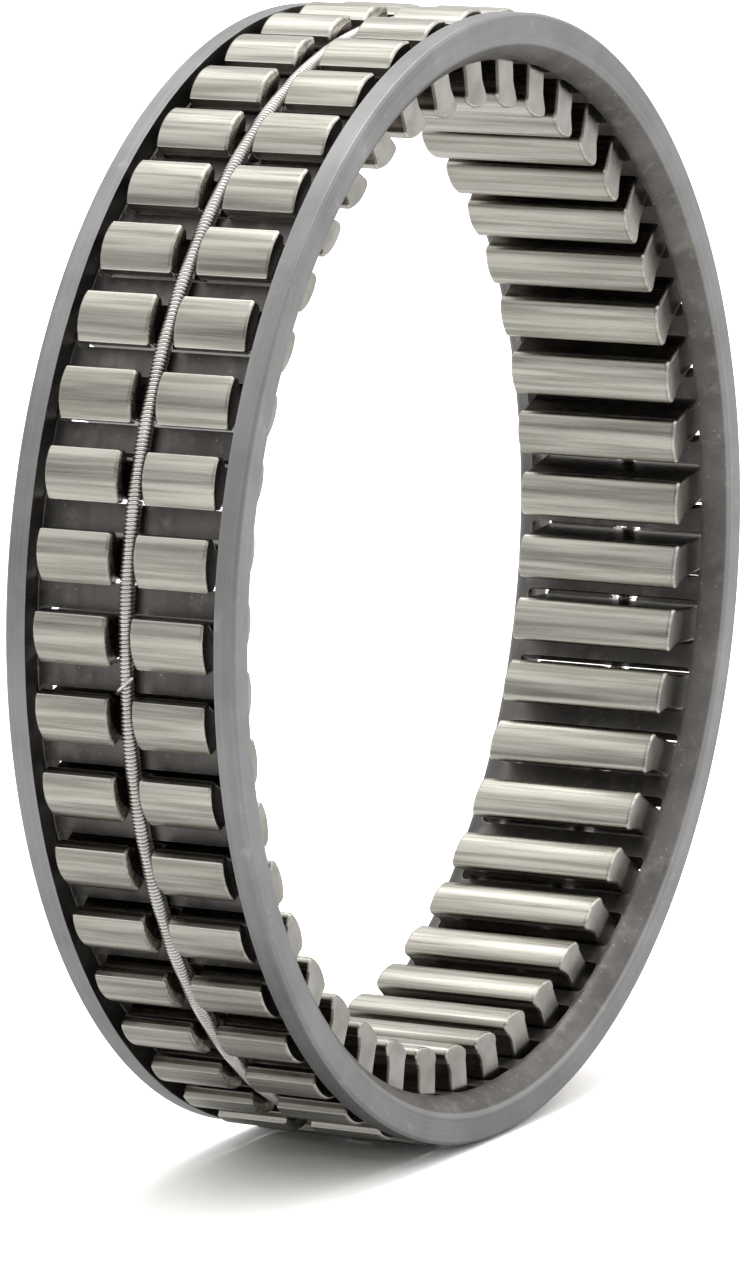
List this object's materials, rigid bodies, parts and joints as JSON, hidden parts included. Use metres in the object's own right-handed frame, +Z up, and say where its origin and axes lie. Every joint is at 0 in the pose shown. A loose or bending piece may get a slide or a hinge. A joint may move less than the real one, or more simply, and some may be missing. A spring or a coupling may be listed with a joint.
{
  "type": "sprag clutch cage",
  "caption": "Ring of notched sprags in a windowed channel cage, held by a garter spring, that locks a shaft to a housing in one direction only.",
  "frame": {"origin": "centre of the ring, midway between the two flange faces", "axes": "+Y along the ring axis, from the front flange to the back flange; +Z up as the ring stands on its rim"},
  "size_m": [0.0964, 0.021, 0.0963],
  "materials": {
    "cage_steel": "dark, lightly oiled, turned satin steel",
    "sprag_steel": "bare hardened steel, drawn lengthways, satin",
    "spring_wire": "bright drawn wire"
  },
  "bodies": {
    "cage": {"cage": "cage_steel", "garter_spring": "spring_wire"},
    "sprag_01": {"sprag_01": "sprag_steel"},
    "sprag_02": {"sprag_02": "sprag_steel"},
    "sprag_03": {"sprag_03": "sprag_steel"},
    "sprag_04": {"sprag_04": "sprag_steel"},
    "sprag_05": {"sprag_05": "sprag_steel"},
    "sprag_06": {"sprag_06": "sprag_steel"},
    "sprag_07": {"sprag_07": "sprag_steel"},
    "sprag_08": {"sprag_08": "sprag_steel"},
    "sprag_09": {"sprag_09": "sprag_steel"},
    "sprag_10": {"sprag_10": "sprag_steel"},
    "sprag_11": {"sprag_11": "sprag_steel"},
    "sprag_12": {"sprag_12": "sprag_steel"},
    "sprag_13": {"sprag_13": "sprag_steel"},
    "sprag_14": {"sprag_14": "sprag_steel"},
    "sprag_15": {"sprag_15": "sprag_steel"},
    "sprag_16": {"sprag_16": "sprag_steel"},
    "sprag_17": {"sprag_17": "sprag_steel"},
    "sprag_18": {"sprag_18": "sprag_steel"},
    "sprag_19": {"sprag_19": "sprag_steel"},
    "sprag_20": {"sprag_20": "sprag_steel"},
    "sprag_21": {"sprag_21": "sprag_steel"},
    "sprag_22": {"sprag_22": "sprag_steel"},
    "sprag_23": {"sprag_23": "sprag_steel"},
    "sprag_24": {"sprag_24": "sprag_steel"},
    "sprag_25": {"sprag_25": "sprag_steel"},
    "sprag_26": {"sprag_26": "sprag_steel"},
    "sprag_27": {"sprag_27": "sprag_steel"},
    "sprag_28": {"sprag_28": "sprag_steel"},
    "sprag_29": {"sprag_29": "sprag_steel"},
    "sprag_30": {"sprag_30": "sprag_steel"},
    "sprag_31": {"sprag_31": "sprag_steel"},
    "sprag_32": {"sprag_32": "sprag_steel"},
    "sprag_33": {"sprag_33": "sprag_steel"},
    "sprag_34": {"sprag_34": "sprag_steel"},
    "sprag_35": {"sprag_35": "sprag_steel"},
    "sprag_36": {"sprag_36": "sprag_steel"},
    "sprag_37": {"sprag_37": "sprag_steel"},
    "sprag_38": {"sprag_38": "sprag_steel"},
    "sprag_39": {"sprag_39": "sprag_steel"},
    "sprag_40": {"sprag_40": "sprag_steel"},
    "sprag_41": {"sprag_41": "sprag_steel"},
    "sprag_42": {"sprag_42": "sprag_steel"},
    "sprag_43": {"sprag_43": "sprag_steel"},
    "sprag_44": {"sprag_44": "sprag_steel"},
    "sprag_45": {"sprag_45": "sprag_steel"}
  },
  "joints": [
    {"name": "sprag_01_tilt", "type": "hinge", "parent": "cage", "child": "sprag_01", "pos_m": [-0.00027, 0, 0.0443], "axis": [0, -1, 0], "range_deg": [-6, 6]},
    {"name": "sprag_02_tilt", "type": "hinge", "parent": "cage", "child": "sprag_02", "pos_m": [-0.00643, 0, 0.04383], "axis": [0, -1, 0], "range_deg": [-6, 6]},
    {"name": "sprag_03_tilt", "type": "hinge", "parent": "cage", "child": "sprag_03", "pos_m": [-0.01247, 0, 0.04251], "axis": [0, -1, 0], "range_deg": [-6, 6]},
    {"name": "sprag_04_tilt", "type": "hinge", "parent": "cage", "child": "sprag_04", "pos_m": [-0.01827, 0, 0.04036], "axis": [0, -1, 0], "range_deg": [-6, 6]},
    {"name": "sprag_05_tilt", "type": "hinge", "parent": "cage", "child": "sprag_05", "pos_m": [-0.0237, 0, 0.03742], "axis": [0, -1, 0], "range_deg": [-6, 6]},
    {"name": "sprag_06_tilt", "type": "hinge", "parent": "cage", "child": "sprag_06", "pos_m": [-0.02868, 0, 0.03376], "axis": [0, -1, 0], "range_deg": [-6, 6]},
    {"name": "sprag_07_tilt", "type": "hinge", "parent": "cage", "child": "sprag_07", "pos_m": [-0.0331, 0, 0.02944], "axis": [0, -1, 0], "range_deg": [-6, 6]},
    {"name": "sprag_08_tilt", "type": "hinge", "parent": "cage", "child": "sprag_08", "pos_m": [-0.03688, 0, 0.02455], "axis": [0, -1, 0], "range_deg": [-6, 6]},
    {"name": "sprag_09_tilt", "type": "hinge", "parent": "cage", "child": "sprag_09", "pos_m": [-0.03993, 0, 0.01918], "axis": [0, -1, 0], "range_deg": [-6, 6]},
    {"name": "sprag_10_tilt", "type": "hinge", "parent": "cage", "child": "sprag_10", "pos_m": [-0.04221, 0, 0.01343], "axis": [0, -1, 0], "range_deg": [-6, 6]},
    {"name": "sprag_11_tilt", "type": "hinge", "parent": "cage", "child": "sprag_11", "pos_m": [-0.04367, 0, 0.00743], "axis": [0, -1, 0], "range_deg": [-6, 6]},
    {"name": "sprag_12_tilt", "type": "hinge", "parent": "cage", "child": "sprag_12", "pos_m": [-0.04428, 0, 0.00128], "axis": [0, -1, 0], "range_deg": [-6, 6]},
    {"name": "sprag_13_tilt", "type": "hinge", "parent": "cage", "child": "sprag_13", "pos_m": [-0.04403, 0, -0.0049], "axis": [0, -1, 0], "range_deg": [-6, 6]},
    {"name": "sprag_14_tilt", "type": "hinge", "parent": "cage", "child": "sprag_14", "pos_m": [-0.04292, 0, -0.01098], "axis": [0, -1, 0], "range_deg": [-6, 6]},
    {"name": "sprag_15_tilt", "type": "hinge", "parent": "cage", "child": "sprag_15", "pos_m": [-0.04097, 0, -0.01685], "axis": [0, -1, 0], "range_deg": [-6, 6]},
    {"name": "sprag_16_tilt", "type": "hinge", "parent": "cage", "child": "sprag_16", "pos_m": [-0.03823, 0, -0.02238], "axis": [0, -1, 0], "range_deg": [-6, 6]},
    {"name": "sprag_17_tilt", "type": "hinge", "parent": "cage", "child": "sprag_17", "pos_m": [-0.03474, 0, -0.02749], "axis": [0, -1, 0], "range_deg": [-6, 6]},
    {"name": "sprag_18_tilt", "type": "hinge", "parent": "cage", "child": "sprag_18", "pos_m": [-0.03058, 0, -0.03205], "axis": [0, -1, 0], "range_deg": [-6, 6]},
    {"name": "sprag_19_tilt", "type": "hinge", "parent": "cage", "child": "sprag_19", "pos_m": [-0.02582, 0, -0.036], "axis": [0, -1, 0], "range_deg": [-6, 6]},
    {"name": "sprag_20_tilt", "type": "hinge", "parent": "cage", "child": "sprag_20", "pos_m": [-0.02056, 0, -0.03924], "axis": [0, -1, 0], "range_deg": [-6, 6]},
    {"name": "sprag_21_tilt", "type": "hinge", "parent": "cage", "child": "sprag_21", "pos_m": [-0.0149, 0, -0.04172], "axis": [0, -1, 0], "range_deg": [-6, 6]},
    {"name": "sprag_22_tilt", "type": "hinge", "parent": "cage", "child": "sprag_22", "pos_m": [-0.00895, 0, -0.04339], "axis": [0, -1, 0], "range_deg": [-6, 6]},
    {"name": "sprag_23_tilt", "type": "hinge", "parent": "cage", "child": "sprag_23", "pos_m": [-0.00282, 0, -0.04421], "axis": [0, -1, 0], "range_deg": [-6, 6]},
    {"name": "sprag_24_tilt", "type": "hinge", "parent": "cage", "child": "sprag_24", "pos_m": [0.00336, 0, -0.04417], "axis": [0, -1, 0], "range_deg": [-6, 6]},
    {"name": "sprag_25_tilt", "type": "hinge", "parent": "cage", "child": "sprag_25", "pos_m": [0.00948, 0, -0.04327], "axis": [0, -1, 0], "range_deg": [-6, 6]},
    {"name": "sprag_26_tilt", "type": "hinge", "parent": "cage", "child": "sprag_26", "pos_m": [0.01541, 0, -0.04154], "axis": [0, -1, 0], "range_deg": [-6, 6]},
    {"name": "sprag_27_tilt", "type": "hinge", "parent": "cage", "child": "sprag_27", "pos_m": [0.02104, 0, -0.03899], "axis": [0, -1, 0], "range_deg": [-6, 6]},
    {"name": "sprag_28_tilt", "type": "hinge", "parent": "cage", "child": "sprag_28", "pos_m": [0.02626, 0, -0.03568], "axis": [0, -1, 0], "range_deg": [-6, 6]},
    {"name": "sprag_29_tilt", "type": "hinge", "parent": "cage", "child": "sprag_29", "pos_m": [0.03097, 0, -0.03168], "axis": [0, -1, 0], "range_deg": [-6, 6]},
    {"name": "sprag_30_tilt", "type": "hinge", "parent": "cage", "child": "sprag_30", "pos_m": [0.03507, 0, -0.02706], "axis": [0, -1, 0], "range_deg": [-6, 6]},
    {"name": "sprag_31_tilt", "type": "hinge", "parent": "cage", "child": "sprag_31", "pos_m": [0.0385, 0, -0.02192], "axis": [0, -1, 0], "range_deg": [-6, 6]},
    {"name": "sprag_32_tilt", "type": "hinge", "parent": "cage", "child": "sprag_32", "pos_m": [0.04117, 0, -0.01634], "axis": [0, -1, 0], "range_deg": [-6, 6]},
    {"name": "sprag_33_tilt", "type": "hinge", "parent": "cage", "child": "sprag_33", "pos_m": [0.04305, 0, -0.01045], "axis": [0, -1, 0], "range_deg": [-6, 6]},
    {"name": "sprag_34_tilt", "type": "hinge", "parent": "cage", "child": "sprag_34", "pos_m": [0.04408, 0, -0.00436], "axis": [0, -1, 0], "range_deg": [-6, 6]},
    {"name": "sprag_35_tilt", "type": "hinge", "parent": "cage", "child": "sprag_35", "pos_m": [0.04426, 0, 0.00182], "axis": [0, -1, 0], "range_deg": [-6, 6]},
    {"name": "sprag_36_tilt", "type": "hinge", "parent": "cage", "child": "sprag_36", "pos_m": [0.04358, 0, 0.00796], "axis": [0, -1, 0], "range_deg": [-6, 6]},
    {"name": "sprag_37_tilt", "type": "hinge", "parent": "cage", "child": "sprag_37", "pos_m": [0.04205, 0, 0.01395], "axis": [0, -1, 0], "range_deg": [-6, 6]},
    {"name": "sprag_38_tilt", "type": "hinge", "parent": "cage", "child": "sprag_38", "pos_m": [0.0397, 0, 0.01966], "axis": [0, -1, 0], "range_deg": [-6, 6]},
    {"name": "sprag_39_tilt", "type": "hinge", "parent": "cage", "child": "sprag_39", "pos_m": [0.03657, 0, 0.025], "axis": [0, -1, 0], "range_deg": [-6, 6]},
    {"name": "sprag_40_tilt", "type": "hinge", "parent": "cage", "child": "sprag_40", "pos_m": [0.03274, 0, 0.02984], "axis": [0, -1, 0], "range_deg": [-6, 6]},
    {"name": "sprag_41_tilt", "type": "hinge", "parent": "cage", "child": "sprag_41", "pos_m": [0.02827, 0, 0.03411], "axis": [0, -1, 0], "range_deg": [-6, 6]},
    {"name": "sprag_42_tilt", "type": "hinge", "parent": "cage", "child": "sprag_42", "pos_m": [0.02325, 0, 0.03771], "axis": [0, -1, 0], "range_deg": [-6, 6]},
    {"name": "sprag_43_tilt", "type": "hinge", "parent": "cage", "child": "sprag_43", "pos_m": [0.01777, 0, 0.04058], "axis": [0, -1, 0], "range_deg": [-6, 6]},
    {"name": "sprag_44_tilt", "type": "hinge", "parent": "cage", "child": "sprag_44", "pos_m": [0.01195, 0, 0.04266], "axis": [0, -1, 0], "range_deg": [-6, 6]},
    {"name": "sprag_45_tilt", "type": "hinge", "parent": "cage", "child": "sprag_45", "pos_m": [0.0059, 0, 0.04391], "axis": [0, -1, 0], "range_deg": [-6, 6]}
  ],
  "couplings": [
    {"joint": "sprag_02_tilt", "follows": "sprag_01_tilt", "ratio": 1},
    {"joint": "sprag_03_tilt", "follows": "sprag_01_tilt", "ratio": 1},
    {"joint": "sprag_04_tilt", "follows": "sprag_01_tilt", "ratio": 1},
    {"joint": "sprag_05_tilt", "follows": "sprag_01_tilt", "ratio": 1},
    {"joint": "sprag_06_tilt", "follows": "sprag_01_tilt", "ratio": 1},
    {"joint": "sprag_07_tilt", "follows": "sprag_01_tilt", "ratio": 1},
    {"joint": "sprag_08_tilt", "follows": "sprag_01_tilt", "ratio": 1},
    {"joint": "sprag_09_tilt", "follows": "sprag_01_tilt", "ratio": 1},
    {"joint": "sprag_10_tilt", "follows": "sprag_01_tilt", "ratio": 1},
    {"joint": "sprag_11_tilt", "follows": "sprag_01_tilt", "ratio": 1},
    {"joint": "sprag_12_tilt", "follows": "sprag_01_tilt", "ratio": 1},
    {"joint": "sprag_13_tilt", "follows": "sprag_01_tilt", "ratio": 1},
    {"joint": "sprag_14_tilt", "follows": "sprag_01_tilt", "ratio": 1},
    {"joint": "sprag_15_tilt", "follows": "sprag_01_tilt", "ratio": 1},
    {"joint": "sprag_16_tilt", "follows": "sprag_01_tilt", "ratio": 1},
    {"joint": "sprag_17_tilt", "follows": "sprag_01_tilt", "ratio": 1},
    {"joint": "sprag_18_tilt", "follows": "sprag_01_tilt", "ratio": 1},
    {"joint": "sprag_19_tilt", "follows": "sprag_01_tilt", "ratio": 1},
    {"joint": "sprag_20_tilt", "follows": "sprag_01_tilt", "ratio": 1},
    {"joint": "sprag_21_tilt", "follows": "sprag_01_tilt", "ratio": 1},
    {"joint": "sprag_22_tilt", "follows": "sprag_01_tilt", "ratio": 1},
    {"joint": "sprag_23_tilt", "follows": "sprag_01_tilt", "ratio": 1},
    {"joint": "sprag_24_tilt", "follows": "sprag_01_tilt", "ratio": 1},
    {"joint": "sprag_25_tilt", "follows": "sprag_01_tilt", "ratio": 1},
    {"joint": "sprag_26_tilt", "follows": "sprag_01_tilt", "ratio": 1},
    {"joint": "sprag_27_tilt", "follows": "sprag_01_tilt", "ratio": 1},
    {"joint": "sprag_28_tilt", "follows": "sprag_01_tilt", "ratio": 1},
    {"joint": "sprag_29_tilt", "follows": "sprag_01_tilt", "ratio": 1},
    {"joint": "sprag_30_tilt", "follows": "sprag_01_tilt", "ratio": 1},
    {"joint": "sprag_31_tilt", "follows": "sprag_01_tilt", "ratio": 1},
    {"joint": "sprag_32_tilt", "follows": "sprag_01_tilt", "ratio": 1},
    {"joint": "sprag_33_tilt", "follows": "sprag_01_tilt", "ratio": 1},
    {"joint": "sprag_34_tilt", "follows": "sprag_01_tilt", "ratio": 1},
    {"joint": "sprag_35_tilt", "follows": "sprag_01_tilt", "ratio": 1},
    {"joint": "sprag_36_tilt", "follows": "sprag_01_tilt", "ratio": 1},
    {"joint": "sprag_37_tilt", "follows": "sprag_01_tilt", "ratio": 1},
    {"joint": "sprag_38_tilt", "follows": "sprag_01_tilt", "ratio": 1},
    {"joint": "sprag_39_tilt", "follows": "sprag_01_tilt", "ratio": 1},
    {"joint": "sprag_40_tilt", "follows": "sprag_01_tilt", "ratio": 1},
    {"joint": "sprag_41_tilt", "follows": "sprag_01_tilt", "ratio": 1},
    {"joint": "sprag_42_tilt", "follows": "sprag_01_tilt", "ratio": 1},
    {"joint": "sprag_43_tilt", "follows": "sprag_01_tilt", "ratio": 1},
    {"joint": "sprag_44_tilt", "follows": "sprag_01_tilt", "ratio": 1},
    {"joint": "sprag_45_tilt", "follows": "sprag_01_tilt", "ratio": 1}
  ]
}
